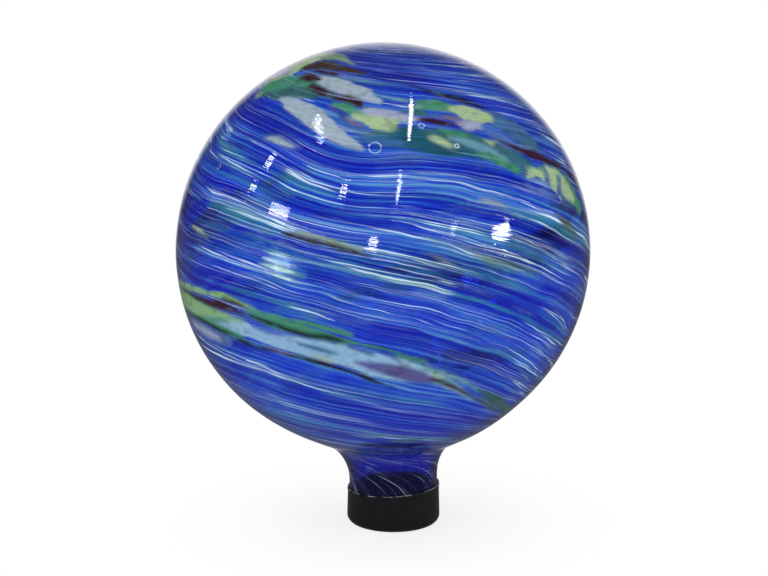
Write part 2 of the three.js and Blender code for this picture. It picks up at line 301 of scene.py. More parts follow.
# A veil of paler glass, with a tone above 0, or of deeper glass, with a tone below 0. Its stations
# are places on the ball's front as the camera sees them, to the right and up from the middle, in
# shares of the ball's radius, and half the width there, in millimetres.
Veil = namedtuple("Veil", "tone stations")
VEILS = [Veil(tone, stations) for tone, stations in (
    # Mostly deeper
    (-1, ((-0.7, 0.73, 5), (-0.59, 0.67, 7), (-0.4, 0.57, 5))),
    (-1, ((-0.86, 0.46, 8), (-0.8, 0.4, 8), (-0.67, 0.29, 6))),
    (-0.9, ((-0.73, 0.54, 5), (-0.56, 0.44, 6), (-0.4, 0.4, 4))),
    (-1, ((-0.62, 0.33, 6), (-0.45, 0.26, 7), (-0.3, 0.2, 6))),
    (-0.9, ((-0.24, 0.22, 7), (0.01, 0.2, 7), (0.28, 0.16, 6))),
    (-0.9, ((-0.95, 0.25, 6), (-0.82, 0.18, 7), (-0.65, 0.08, 5))),
    (-0.9, ((-0.98, 0.09, 6), (-0.86, 0.04, 6), (-0.72, -0.01, 5))),
    (-0.8, ((-0.15, 0.91, 10), (0.08, 0.83, 10), (0.33, 0.74, 9), (0.5, 0.66, 7))),
    (-1, ((0.67, 0.1, 6), (0.83, 0.02, 8), (0.97, -0.1, 8))),
    (-0.8, ((-0.98, -0.09, 5), (-0.79, -0.15, 5), (-0.59, -0.2, 5))),
    (0.7, ((-0.56, -0.17, 6), (-0.26, -0.21, 6), (0.06, -0.26, 6))),
    (0.8, ((-0.45, -0.27, 6), (-0.16, -0.34, 6), (0.08, -0.38, 6))),
    (-0.5, ((0.35, -0.14, 7), (0.57, -0.22, 9), (0.81, -0.34, 8))),
    (0.6, ((0.11, -0.28, 6), (0.37, -0.35, 6))),
    (0.2, ((-0.01, -0.37, 5), (0.23, -0.44, 6), (0.42, -0.53, 6))),
    (-1, ((0.16, 0.17, 5), (0.37, 0.13, 5), (0.59, 0.06, 5))),
    (-0.7, ((0.1, 0.28, 5), (0.35, 0.24, 7), (0.6, 0.14, 6), (0.78, 0.02, 4))),
    # Mostly paler
    (0.1, ((-0.23, 0.41, 8), (0.01, 0.43, 12), (0.28, 0.37, 12), (0.47, 0.31, 8))),
    (0.8, ((-0.82, 0.25, 4), (-0.67, 0.18, 6), (-0.5, 0.1, 5))),
    (0.7, ((-0.52, 0.13, 5), (-0.23, 0.08, 6), (0.08, 0.04, 6))),
    (0.8, ((0.08, 0.08, 6), (0.33, 0.04, 7), (0.57, -0.01, 6))),
    (0.9, ((-0.89, 0, 5), (-0.65, -0.06, 8), (-0.4, -0.13, 7))),
    # Painted reflection: this palest veil lightens the glass where a window mirrored in the ball's
    # inner back wall shows.
    (3, ((-0.52, -0.04, 4), (-0.46, -0.07, 5), (-0.4, -0.09, 3))),
    (0.7, ((-0.4, -0.02, 8), (-0.16, -0.07, 8), (0.08, -0.13, 8), (0.28, -0.2, 7))),
    (0.9, ((0.33, -0.03, 6), (0.54, -0.08, 7), (0.74, -0.16, 5))),
    (0.9, ((0.35, -0.3, 5), (0.52, -0.39, 7), (0.67, -0.48, 6), (0.76, -0.52, 4))),
    (0.8, ((-0.45, 0.34, 4), (-0.32, 0.28, 4), (-0.23, 0.24, 3))),
    (0.8, ((-0.78, 0.52, 4), (-0.69, 0.42, 4))),
    (0.9, ((-0.62, -0.48, 3), (-0.45, -0.54, 4), (-0.28, -0.6, 3))),
    (0.7, ((-0.65, -0.61, 3), (-0.5, -0.65, 3))),
    (0.6, ((0.08, -0.72, 4), (0.23, -0.75, 5), (0.36, -0.81, 4))),
)]


# A swell in the swirl, where the trails dip by a share of the ball's radius: its place on the
# ball's front as the camera sees it, as a veil's, and how far it reaches across and up.
Swell = namedtuple("Swell", "dip right up across_share up_share")
SWELLS = (
    Swell(0.13, -0.19, 0.44, 0.31, 0.28),
    Swell(0.09, 0.8, -0.7, 0.4, 0.4),
)


# Half the width of a seed's raised rim, in millimetres.
SEED_RIM = 0.7

# Seeds, which are small bubbles in the glass: bearing and height above the ball's middle, in
# degrees, and radius, in millimetres.
Seed = namedtuple("Seed", "bearing height radius")
SEEDS = (
    Seed(-2.5, 36.5, 3.4),
    Seed(13.5, 43, 1.6),
    Seed(24, 36.5, 1.2),
    Seed(-58, 28, 1.5),
    Seed(128, 12, 2.6),
    Seed(196, -14, 1.8),
    Seed(247, 33, 2.2),
)


# A grain is a field of noise: where it is read, its cells to a unit of the space it is read in,
# its detail and its roughness. The glass's unit is the ball's radius, the others' the metre.
Grain = namedtuple("Grain", "offset cells detail roughness")
GRAINS = {
    # How the swirl strays
    "drift": Grain((7, 3, 1), (1.3, 1.3, 1.3), 2, 0.4),
    "ripple": Grain((2, 8, 5), (4.5, 4.5, 9), 2, 0.4),
    # The cobalt's veils, coarse to fine
    "clouds": Grain((0, 0, 0), (2.1, 2.1, 3.2), 2, 0.5),
    "veils": Grain((0, 0, 0), (1.7, 1.7, 1.1), 3, 0.55),
    "sea": Grain((9, 0, 2), (2.6, 2.6, 1.3), 2, 0.5),
    "bands": Grain((4, 0, 0), (4.6, 4.6, 1.1), 2, 0.5),
    "strands": Grain((0, 4, 0), (13, 13, 2.2), 3, 0.6),
    # The pale threads and where they crowd
    "crowds": Grain((0, 0, 0), (3.2, 3.2, 2.4), 2, 0.5),
    "glow": Grain((5, 5, 5), (6, 6, 2.6), 2, 0.5),
    "sparkle": Grain((8, 5, 5), (9, 9, 4.5), 2, 0.5),
    "broad": Grain((3, 5, 0), (2.9, 2.9, 0.75), 2, 0.45),
    "narrow": Grain((3, 5, 0), (5.4, 5.4, 1.3), 2, 0.45),
    "fibres": Grain((7, 1, 0), (32, 32, 3), 1, 0.5),
    "hairs": Grain((6, 5, 0), (19, 19, 3.5), 2, 0.4),
    # The chips' edges and insides
    "ragged": Grain((0, 0, 0), (22, 22, 5), 3, 0.6),
    "wandering": Grain((0, 0, 0), (9, 9, 16), 2, 0.5),
    "streaks": Grain((2, 2, 2), (17, 17, 3.5), 3, 0.6),
    "mottle": Grain((3, 3, 9), (11, 11, 17), 3, 0.6),
    # The glass's relief, outside and inside
    "strokes": Grain((1, 6, 3), (15, 15, 4), 2, 0.6),
    "waves": Grain((0, 0, 0), (9, 9, 1.5), 2, 0.5),
    # The cap
    "vinyl_mottle": Grain((0, 0, 0), (180, 180, 180), 4, 0.6),
    "vinyl_grain": Grain((0, 0, 0), (2400, 2400, 2400), 2, 0.5),
    "scuffs": Grain((0, 0, 0), (900, 900, 500), 3, 0.7),
    "glint_dashes": Grain((0, 0, 0), (260, 260, 260), 2, 0.5),
    # The floor
    "speckle": Grain((0, 0, 0), (60, 60, 60), 3, 0.5),
}

GLASS_IOR = 1.5
VINYL_IOR = 1.48


# Sizes and colours that can be changed


class GlassSizes(bpy.types.PropertyGroup):
    """Sizes of the blown glass."""
    globe_diameter: length("Ball", "Outer diameter of the ball", glass_high.y - glass_low.y)
    overall_height: length("Height", "From the cap's underside to the crown", glass_high.z)
    globe_wall: length("Ball's wall", "Thickness of the ball's glass", 2.4 * MM)
    neck_diameter: length("Neck", "Outer diameter of the neck", 55.2 * MM)
    neck_wall: length("Neck's wall", "Thickness of the neck's glass", 3.4 * MM)
    flare_radius: length("Flare", "Radius of the sweep from neck to ball", 28 * MM)
    pull_in: length("Pull", "How far the underside is pulled in", 5.4 * MM)
    pull_start: length("Pull start", "How far below the middle the pull starts", 20 * MM)
    lip_height: length("Lip height", "Height of the neck's open end", glass_low.z)
    lip_round: length("Lip round", "Radius of the fire-polished lip", 1.2 * MM)
    neck_offset: length("Neck offset", "How far the ball lies off the neck's axis", 6.5 * MM)
    lean_start: length("Lean start", "Height at which the lean starts", 24 * MM)
    lean_height: length("Lean height", "Height over which the neck leans", 63 * MM)
    waviness: length("Waviness", "Depth of the hollows that hand blowing leaves", 0.17 * MM)
    relief: length("Relief", "Depth of the fine ridges along the swirl", 0.075 * MM)
    inner_relief: length("Inner relief", "Depth of the inner face's waves", 0.05 * MM)
    neck_tint_foot: length("Neck tint's foot", "Where the neck's colour is full", 45 * MM)
    neck_tint_top: length("Neck tint's top", "Where the neck's colour has gone", 75 * MM)
    underside_foot: length("Underside's foot", "Where the underside is palest", 110 * MM)
    underside_top: length("Underside's top", "Where the underside starts to pale", 190 * MM)
    segments: IntProperty(name="Segments", description="Steps round the glass", default=256)


class CapSizes(bpy.types.PropertyGroup):
    """Sizes of the push-on cap."""
    height: length("Height", "Height of the wall before the rim's slope", 24 * MM)
    socket_diameter: length("Socket", "Inner diameter of the cap", 55.8 * MM)
    foot_wall: length("Foot's wall", "Wall thickness at the foot", 1.2 * MM)
    rim_wall: length("Rim's wall", "Wall thickness at the rim", 1 * MM)
    floor: length("Floor", "Thickness of the floor", 2.4 * MM)
    foot_round: length("Foot round", "Radius between wall and underside", 5 * MM)
    rim_round: length("Rim round", "Radius of the rim's edges", 0.4 * MM)
    rim_rise: length("Rim rise", "How much higher the rim is on the right", 1.5 * MM)
    corner_round: length("Corner round", "Radius inside, between wall and floor", 1.5 * MM)
    rim_bead: length("Rim bead", "How far the bead round the rim stands out", 0.25 * MM)
    bead_height: length("Bead height", "Height of the bead round the rim", 1.7 * MM)
    bead_slope: length("Bead slope", "Height of the slope under the bead", 0.3 * MM)
    groove_height: length("Groove", "Height of the groove under the bead's slope", 0.6 * MM)
    gate_radius: length("Gate", "Radius of the moulding gate's dimple underneath", 3 * MM)
    gate_floor: length("Gate's floor", "Radius of the dimple's flat floor", 2.4 * MM)
    gate_depth: length("Gate depth", "Depth of the moulding gate's dimple", 0.5 * MM)
    segments: IntProperty(name="Segments", description="Steps round the cap", default=192)


class SwirlLook(bpy.types.PropertyGroup):
    """How the swirl runs and what colours it has."""
    lean_back: number("Lean back", "Tilt of the swirl's axis to the back", math.radians(9.6),
                      subtype="ANGLE")
    slope: number("Slope", "Fall of the trails per length round the ball", 0.243)
    crossing: number("Crossing", "How much steeper the crossing threads are", 1.3)
    drift: number("Drift", "How far the trails stray from their slope", 0.32)
    ripple: number("Ripple", "Size of the trails' short waves", 0.11)
    deep: colour("Deep glass", "Cobalt where it is densest", srgb(8, 8, 172))
    middle: colour("Cobalt glass", "Cobalt between the trails", srgb(24, 60, 216))
    steel: colour("Steel glass", "Veils of paler glass", srgb(72, 142, 206))
    pale: colour("Pale glass", "The palest veils", srgb(166, 212, 232))
    sea: colour("Sea glass", "Veils of green glass", srgb(44, 128, 130))
    thread: colour("Threads", "Pale threads in the glass", srgb(216, 238, 250))
    chip_dark: colour("Chips' streaks", "Darker streaks in the chips of frit", srgb(120, 140, 140))
    neck: colour("Neck", "The thick glass of the neck", srgb(10, 6, 140))
    inside: colour("Inner face", "The clear glass of the inner face", srgb(250, 252, 255))
    inside_wave: colour("Inner face's waves", "Its clear glass in the waves", srgb(240, 246, 255))


class CapLook(bpy.types.PropertyGroup):
    """Colours of the cap, where it is worn, and its painted glints along the rim's edge."""
    vinyl: colour("Vinyl", "Black soft vinyl", srgb(8, 9, 12))
    scuff: colour("Scuffs", "Rubbed edges and dust", srgb(54, 56, 59))
    # Painted highlight: the pale colour of the broken dashes along the rim's edge, which stand for
    # light glinting on it.
    rim_wear_and_glint: colour("Rim glint", "The rim's edge, where it is bare and dry", srgb(150, 156, 160))
    foot_wear: length("Foot wear", "Height up to which the foot is rubbed", 3.5 * MM)
    foot_bare: length("Bare foot", "Height up to which the foot is rubbed most", 0.4 * MM)
    rim_wear: length("Rim wear", "How far down the rim is rubbed", 2.2 * MM)
    # Where along the rim's edge the painted glint lies.
    edge_glint_start: length("Edge glint start", "How far down the rim's edge starts to be bare", 0.55 * MM)
    edge_glint_full: length("Full edge glint", "How far down the rim's edge is bare", 0.2 * MM)
    grain_depth: length("Grain", "Depth of the vinyl's grain", 0.015 * MM)


class StageLook(bpy.types.PropertyGroup):
    """The floor, the studio around it and the camera."""
    floor: colour("Floor", "Pale floor", srgb(242, 242, 242))
    floor_radius: length("Floor radius", "Radius of the floor", 3.0)
    shadow_start: length("Shadow start", "Where the floor's shadow starts to fade", 20 * MM)
    shadow_radius: length("Shadow radius", "Where the floor's shadow has faded away", 160 * MM)
    shadow: number("Shadow", "How much of the floor's shadow is seen", 0.2, subtype="FACTOR")
    speckle: number("Speckle", "Brightness of the floor's darker specks", 0.97, subtype="FACTOR")
    room: number("Room light", "Light from the whole room on matt surfaces", 0.92)
    dark_side: number("Dark side", "What the glass mirrors from in front", 0.07)
    floor_side: number("Floor side", "What the glass mirrors from the floor", 0.14)
    sweep_edge: number("Sweep's edge", "Where the white sweep starts, 1 being straight behind", 0.88)
    window: number("Window light", "Brightness of the studio's windows", 42)
    camera_elevation: number("Camera elevation", "Angle above the horizon", math.radians(9.8),
                             subtype="ANGLE")
    camera_distance: length("Camera distance", "From the ball's centre", 1.2)
    camera_drop: length("Camera drop", "How far below the ball's centre the camera aims", 23.7 * MM)
    camera_aim: length("Camera aim", "How far right of the ball's centre it aims", 0.6 * MM)
    lens: number("Lens", "Focal length", 91.4, unit="CAMERA")


SETTINGS = {"glass": GlassSizes, "cap": CapSizes, "swirl": SwirlLook, "cap_look": CapLook,
            "stage": StageLook}


class GazingBall(bpy.types.PropertyGroup):
    """Everything that can be changed on the ornament."""
    glass: PointerProperty(type=GlassSizes)
    cap: PointerProperty(type=CapSizes)
    swirl: PointerProperty(type=SwirlLook)
    cap_look: PointerProperty(type=CapLook)
    stage: PointerProperty(type=StageLook)


# Node maths


class Number:
    """A socket that carries one number. Arithmetic on it adds Math nodes to its tree."""

    def __init__(self, nodes, socket):
        self.nodes = nodes
        self.socket = socket

    def math(self, operation, *values):
        made = self.nodes.node("Math", {"operation": operation}, dict(enumerate(values)))
        return Number(self.nodes, made.outputs[0])

    def __add__(self, other):
        return self.math("ADD", self, other)

    def __radd__(self, other):
        return self.math("ADD", other, self)

    def __sub__(self, other):
        return self.math("SUBTRACT", self, other)

    def __rsub__(self, other):
        return self.math("SUBTRACT", other, self)

    def __mul__(self, other):
        return self.math("MULTIPLY", self, other)

    def __truediv__(self, other):
        return self.math("DIVIDE", self, other)

    def size(self):
        return self.math("ABSOLUTE", self)

    def log(self):
        return self.math("LOGARITHM", self, math.e)

    def fraction(self):
        return self.math("FRACT", self)

    def highest(self, other):
        return self.math("MAXIMUM", self, other)

    def lowest(self, other):
        return self.math("MINIMUM", self, other)

    def step(self, low, high):
        """0 below low, 1 above high and a smooth ramp between. Low may be above high."""
        settings = {"interpolation_type": "SMOOTHSTEP"}
        made = self.nodes.node("MapRange", settings, {"Value": self, "From Min": low,
                                                      "From Max": high})
        return Number(self.nodes, made.outputs["Result"])


class Nodes:
    """Adds nodes to one tree. Numbers come back as Number, colours and vectors as sockets."""

    def __init__(self, tree):
        self.tree = tree
        self.tree.nodes.clear()

    def node(self, kind, settings=None, inputs=None):
        made = self.tree.nodes.new("ShaderNode" + kind)
        for name, value in (settings or {}).items():
            setattr(made, name, value)
        for key, value in (inputs or {}).items():
            socket = made.inputs[key]
            value = value.socket if isinstance(value, Number) else value
            if isinstance(value, bpy.types.NodeSocket):
                self.tree.links.new(value, socket)
            else:
                socket.default_value = value
        return made

    def grain(self, space, name):
        """One of the GRAINS, from 0 to 1, read in a space."""
        grain = GRAINS[name]
        cells = self.scaled(self.moved(space, grain.offset), grain.cells)
        settings = {"noise_dimensions": "3D", "normalize": True}
        made = self.node("TexNoise", settings, {"Vector": cells, "Scale": 1,
                                                "Detail": grain.detail,
                                                "Roughness": grain.roughness})
        return Number(self, made.outputs[0])

    def painted(self, name):
        """A number that was painted to the mesh."""
        return Number(self, self.node("Attribute", {"attribute_name": name}).outputs["Fac"])

    def scaled(self, vector, factors):
        return self.node("VectorMath", {"operation": "MULTIPLY"}, {0: vector, 1: factors}).outputs[0]

    def moved(self, vector, offset):
        return self.node("VectorMath", {"operation": "ADD"}, {0: vector, 1: offset}).outputs[0]

    def blend(self, factor, first, second, mode="MIX"):
        """A colour between first, at factor 0, and second, at factor 1."""
        rgba = [value if isinstance(value, bpy.types.NodeSocket) else (*value, 1) for value in
                (first, second)]
        settings = {"data_type": "RGBA", "blend_type": mode}
        made = self.node("Mix", settings, {0: factor, 6: rgba[0], 7: rgba[1]})
        return made.outputs[2]

    def bump(self, height, distance):
        """A normal with relief up to a distance deep."""
        made = self.node("Bump", inputs={"Strength": 1, "Distance": distance, "Height": height})
        return made.outputs[0]

    def separate(self, vector):
        made = self.node("SeparateXYZ", inputs={0: vector})
        return [Number(self, socket) for socket in made.outputs]

    def surface(self, shader):
        self.node("OutputMaterial", inputs={"Surface": shader.outputs[0]})


def new_material(name):
    material = bpy.data.materials.new(name)
    material.use_nodes = True
    return material, Nodes(material.node_tree)


# Materials


# The spaces that the glass's grains are read in: the ball itself, the swirl, and a steeper swirl
# whose threads cross the first one's a little. Height is above the cap's underside.
Spaces = namedtuple("Spaces", "ball flow crossing height")

# How near the poles, which are at -1 and 1, the swirl runs. It would wind without end at them.
LAST_RISE = 0.996

# The chips of frit: their tint, where they lie, how far they cover the threads, and how much
# light they stop.
Chips = namedtuple("Chips", "tint place cover stopped")


def swirl_space(nodes, glass, swirl, slope):
    """The place on the ball, in ball radii from its centre, the same place unwound by the twist
    that the glass was given, where a trail of the given slope runs straight along Z whatever its
    bearing, and the height above the cap's underside."""
    radius = glass.globe_diameter / 2
    middle = glass.overall_height - radius
    place = nodes.node("TexCoord").outputs["Object"]
    height = nodes.separate(place)[2]
    offset = height.step(glass.lean_start, glass.lean_start + glass.lean_height) * glass.neck_offset
    shift = nodes.node("CombineXYZ", inputs={"X": offset, "Z": -middle}).outputs[0]
    ball = nodes.scaled(nodes.moved(place, shift), (1 / radius,) * 3)
    outward = nodes.node("VectorMath", {"operation": "NORMALIZE"}, {0: ball}).outputs[0]
    _, back, up = nodes.separate(outward)
    lift = nodes.painted("swell") + back * math.sin(swirl.lean_back)
    rise = (up + lift * (1 - up * up)).lowest(LAST_RISE).highest(-LAST_RISE)
    climb = ((1 + rise) / (1 - rise)).log() * 0.5
    drift = nodes.grain(ball, "drift") - 0.5
    ripple = nodes.grain(ball, "ripple") - 0.5
    turn = climb / slope + drift * swirl.drift + ripple * swirl.ripple
    flat = nodes.scaled(outward, (1, 1, 0))
    flat = nodes.node("VectorMath", {"operation": "NORMALIZE"}, {0: flat}).outputs[0]
    turned = nodes.node("VectorRotate", {"rotation_type": "Z_AXIS"},
                        {"Vector": flat, "Angle": turn}).outputs[0]
    along = nodes.node("CombineXYZ", inputs={"Z": climb}).outputs[0]
    return ball, nodes.moved(turned, along), height


def seed_rims(nodes, ball, radius):
    """The raised rims of the seeds, 0 to 1."""
    rims = []
    for seed in SEEDS:
        near = nodes.node("VectorMath", {"operation": "DISTANCE"},
                          {0: ball, 1: direction(seed.bearing, seed.height)}).outputs["Value"]
        gap = (Number(nodes, near) * (radius / MM) - seed.radius).size()
        rims.append(gap.step(SEED_RIM, 0))
    return reduce(Number.highest, rims)


def veil_tone(nodes, glass, spaces):
    """How pale the cobalt is, from deep below 0 to palest above 1."""
    veils = nodes.grain(spaces.flow, "veils") - 0.5
    bands = nodes.grain(spaces.crossing, "bands") - 0.5
    strands = nodes.grain(spaces.flow, "strands") - 0.5
    clouds = nodes.grain(spaces.ball, "clouds") - 0.5
    underside = spaces.height.step(glass.underside_top, glass.underside_foot)
    return (veils * 1.2 + bands * 1.4 + strands * 2.4 + clouds * 0.6
            + nodes.painted("veil") * 0.3 + underside * 0.14 - 0.05)


def cobalt_tint(nodes, swirl, spaces, tone):
    """Cobalt from deep to pale, with green veils."""
    tint = nodes.blend(tone.step(-0.4, 0.1), swirl.deep, swirl.middle)
    tint = nodes.blend(tone.step(0, 0.6), tint, swirl.steel)
    tint = nodes.blend(tone.step(0.45, 1.1), tint, swirl.pale)
    sea = nodes.grain(spaces.flow, "sea").step(0.5, 0.64)
    return nodes.blend(sea * tone.step(-0.2, 0.3) * 0.7, tint, swirl.sea)


def throat_tint(nodes, swirl, spaces):
    """The neck's dark blue, with lighter strands."""
    strands = nodes.grain(spaces.flow, "strands").step(0.42, 0.7)
    return nodes.blend(strands * 0.3, swirl.neck, swirl.middle)


def pale_threads(nodes, spaces, neck):
    """The pale threads, and the thin pale film beside them, both 0 to 1. A layer of pale glass
    rises from 0 to a sharp edge at 1, again and again across the swirl."""
    flow = spaces.flow
    broad = (nodes.grain(flow, "broad") * 5).fraction()
    narrow = (nodes.grain(spaces.crossing, "narrow") * 3).fraction()
    hairs = (nodes.grain(flow, "hairs") * 2 - 1).size()
    fibres = nodes.grain(flow, "fibres").step(0.4, 0.58)
    glow = nodes.grain(flow, "glow")
    sparkle = nodes.grain(flow, "sparkle")
    crowd = (nodes.grain(flow, "veils") * 0.5 + nodes.grain(spaces.ball, "clouds") * 0.6
             + nodes.grain(flow, "crowds") * 1.1 + nodes.painted("veil") * 0.24 - 0.1)
    lit = crowd + sparkle
    broad_edge = broad.step(0.87, 0.95) * broad.step(1, 0.985) * lit.step(1.42, 1.62) * fibres
    narrow_edge = narrow.step(0.84, 0.94) * lit.step(1.42, 1.64) * (fibres * 0.6 + 0.4)
    hair = hairs.step(0.1, 0.02) * (glow + sparkle * 0.6).step(0.75, 0.95) * 0.5
    thread = broad_edge.highest(narrow_edge * 0.9).highest(hair) * (1 - neck * 0.2)
    film = broad * broad * (glow * 1.6).step(0.5, 1) + narrow * narrow * 0.4
    return thread, film * crowd.step(0.8, 1.2) * (fibres * 0.5 + 0.5)


def fused_chips(nodes, swirl, spaces):
    """The chips of frit, with ragged edges, and mottled and streaked inside."""
    frit = nodes.node("Attribute", {"attribute_name": "frit"})
    solid = Number(nodes, frit.outputs["Alpha"])
    ragged = nodes.grain(spaces.flow, "ragged") - 0.5
    wandering = nodes.grain(spaces.ball, "wandering") - 0.5
    reach = nodes.painted("frit_reach") + ragged * 4 + wandering * 3.2
    chip = reach.step(-1.1, 1.1 + (1 - solid) * 5)
    streaks = nodes.grain(spaces.flow, "streaks")
    mottle = nodes.grain(spaces.ball, "mottle")
    tint = nodes.blend(mottle.step(0.48, 0.3) * 0.35, frit.outputs["Color"], swirl.sea)
    tint = nodes.blend(mottle.step(0.5, 0.66) * 0.4, tint, swirl.chip_dark, "MULTIPLY")
    thin = (1.2 - solid).lowest(0.5) * 1.6
    tint = nodes.blend(streaks.step(0.5, 0.25) * thin, tint, swirl.chip_dark, "MULTIPLY")
    tint = nodes.blend(streaks.step(0.58, 0.76) * 0.4, tint, swirl.thread)
    cover = chip * (solid * 1.3).lowest(1)
    stopped = chip * solid * (streaks.step(0.7, 0.35) * 0.35 + 0.65)
    return Chips(tint, chip, cover, stopped)


def swirled_glass(glass, swirl):
    """Cobalt glass with veils, pale threads and fused chips of coloured frit."""
    material, nodes = new_material("swirled_glass")
    ball, flow, height = swirl_space(nodes, glass, swirl, swirl.slope)
    crossing = swirl_space(nodes, glass, swirl, swirl.slope * swirl.crossing)[1]
    spaces = Spaces(ball, flow, crossing, height)
    neck = height.step(glass.neck_tint_top, glass.neck_tint_foot)
    tone = veil_tone(nodes, glass, spaces)
    thread, film = pale_threads(nodes, spaces, neck)
    chips = fused_chips(nodes, swirl, spaces)
    rim = seed_rims(nodes, ball, glass.globe_diameter / 2)

    tint = cobalt_tint(nodes, swirl, spaces, tone)
    tint = nodes.blend(film * 0.45, tint, swirl.steel)
    tint = nodes.blend(neck, tint, throat_tint(nodes, swirl, spaces))
    tint = nodes.blend(chips.place, tint, chips.tint)
    thread = thread * (1 - chips.cover)
    tint = nodes.blend(thread, tint, swirl.thread)
    # Painted highlight: each seed's rim is tinted pale, standing for the light that the bubble's
    # wall catches.
    tint = nodes.blend(rim.step(0.2, 0.8) * 0.8, tint, swirl.thread)
    strokes = nodes.grain(flow, "strokes")
    relief = nodes.bump(strokes + thread * 0.3 + rim * 2, glass.relief)
    clear = nodes.node("BsdfPrincipled", inputs={
        "Base Color": tint, "Roughness": 0, "IOR": GLASS_IOR, "Transmission Weight": 1,
        "Normal": relief})
    dense = nodes.node("BsdfPrincipled", inputs={
        "Base Color": tint, "Roughness": 0.02, "IOR": GLASS_IOR, "Normal": relief})
    milk = (tone.step(-0.3, 0.7) * 0.4 + film * 0.15 + 0.1) * (1 - neck) + neck * 0.08
    stopped = milk.highest(chips.stopped).highest(thread * 0.75)
    nodes.surface(nodes.node("MixShader", inputs={0: stopped, 1: clear.outputs[0],
                                                  2: dense.outputs[0]}))
    return material


def inner_glass(glass, swirl):
    """The ball's inner face: clear glass, faintly wavy along the swirl."""
    material, nodes = new_material("inner_glass")
    flow = swirl_space(nodes, glass, swirl, swirl.slope)[1]
    waves = nodes.grain(flow, "waves")
    tint = nodes.blend(waves, swirl.inside, swirl.inside_wave)
    nodes.surface(nodes.node("BsdfPrincipled", inputs={
        "Base Color": tint, "Roughness": 0, "IOR": GLASS_IOR, "Transmission Weight": 1,
        "Normal": nodes.bump(waves, glass.inner_relief)}))
    return material


def black_vinyl(cap, look):
    """Satin black moulded vinyl with a fine grain, rubbed paler at the foot and the rim. Along the
    rim's edge, broken pale dashes are a painted highlight: light glinting on the edge, tinted into
    the colour."""
    material, nodes = new_material("black_vinyl")
    place = nodes.node("TexCoord").outputs["Object"]
    right, _, height = nodes.separate(place)
    mottle = nodes.grain(place, "vinyl_mottle")
    worn_foot = height.step(look.foot_wear, look.foot_bare)
    rim_wear_and_glint = height.step(cap.height - look.rim_wear, cap.height)
    scuffs = worn_foot.highest(rim_wear_and_glint) * nodes.grain(place, "scuffs").step(0.5, 0.75)
    tint = nodes.blend(mottle * 0.25 + scuffs * 0.5, look.vinyl, look.scuff)
    # Painted highlight: broken pale dashes along the sloping rim's edge stand for light glinting on
    # it, tinted into the vinyl's colour.
    level = height - right * (cap.rim_rise / (cap.socket_diameter / 2 + cap.rim_wall))
    edge = level.step(cap.height - look.edge_glint_start, cap.height - look.edge_glint_full)
    glinting = edge * nodes.grain(place, "glint_dashes").step(0.46, 0.56)
    tint = nodes.blend(glinting * 0.8, tint, look.rim_wear_and_glint)
    rough = 0.3 + mottle * 0.14 + scuffs * 0.25
    relief = nodes.bump(nodes.grain(place, "vinyl_grain") + mottle * 2, look.grain_depth)
    nodes.surface(nodes.node("BsdfPrincipled", inputs={
        "Base Color": tint, "Roughness": rough, "IOR": VINYL_IOR, "Specular IOR Level": 0.35,
        "Normal": relief}))
    return material


def brightness(stage, depth):
    """How bright the studio is in a mirror: dark cards all round, a white sweep behind."""
    return stage.dark_side + depth.step(stage.sweep_edge, 1) * (1 - stage.dark_side)


def rays(nodes):
    """Which rays come from the eye, which by glass or gloss, and which were mirrored, 0 or 1."""
    path = nodes.node("LightPath")
    eye = Number(nodes, path.outputs["Is Camera Ray"])
    gloss = Number(nodes, path.outputs["Is Glossy Ray"])
    through = Number(nodes, path.outputs["Is Transmission Ray"])
    mirrored = Number(nodes, path.outputs["Glossy Depth"]).lowest(1)
    return eye, gloss.highest(through), mirrored


def studio_floor(stage):
    """A pale floor. It keeps the shadow near the ornament, and away from it the eye and the glass
    see it plain white."""
    material, nodes = new_material("studio_floor")
    place = nodes.node("TexCoord").outputs["Object"]
    darker = [stage.speckle * level for level in stage.floor]
    tint = nodes.blend(nodes.grain(place, "speckle"), stage.floor, darker)
    lit = nodes.node("BsdfDiffuse", inputs={"Color": tint})
    reach = Number(nodes, nodes.node("VectorMath", {"operation": "LENGTH"},
                                     {0: place}).outputs["Value"])
    eye, glassy, mirrored = rays(nodes)
    depth = nodes.separate(place)[1] / reach.highest(MM)
    level = 1 - mirrored * (1 - brightness(stage, depth).highest(stage.floor_side))
    white = nodes.node("Emission", inputs={"Color": (1, 1, 1, 1), "Strength": level})
    away = reach.step(stage.shadow_start, stage.shadow_radius)
    plain = away * stage.shadow + (1 - stage.shadow)
    seen = eye * plain + glassy * away.highest(mirrored)
    nodes.surface(nodes.node("MixShader", inputs={0: seen, 1: lit.outputs[0],
                                                  2: white.outputs[0]}))
    return material


def studio_room(stage):
    """White to the eye; seen in the glass, white behind the ball and dark on the camera's side."""
    world = bpy.data.worlds.new("studio_room")
    world.use_nodes = True
    nodes = Nodes(world.node_tree)
    towards = nodes.node("TexCoord").outputs["Generated"]
    eye, glassy, mirrored = rays(nodes)
    seen = 1 - mirrored * (1 - brightness(stage, nodes.separate(towards)[1]))
    level = eye + glassy * seen + (1 - eye - glassy) * stage.room
    light = nodes.node("Background", inputs={"Color": (1, 1, 1, 1), "Strength": level})
    nodes.node("OutputWorld", inputs={"Surface": light.outputs[0]})
    return world


# Shapes


def arc(centre, radius, start, end, steps):
    """Profile points along an arc. Angles are from the outward direction, upward positive."""
    points = []
    for step in range(steps + 1):
        angle = start + (end - start) * step / steps
        points.append((centre[0] + radius * math.cos(angle), centre[1] + radius * math.sin(angle)))
    return points


def smooth_share(value, start, reach):
    share = min(max((value - start) / reach, 0), 1)
    return share * share * (3 - 2 * share)


def lean(glass, height):
    """How far the glass has moved to the left at a height, as the ball runs off the neck's axis."""
    return -glass.neck_offset * smooth_share(height, glass.lean_start, glass.lean_height)


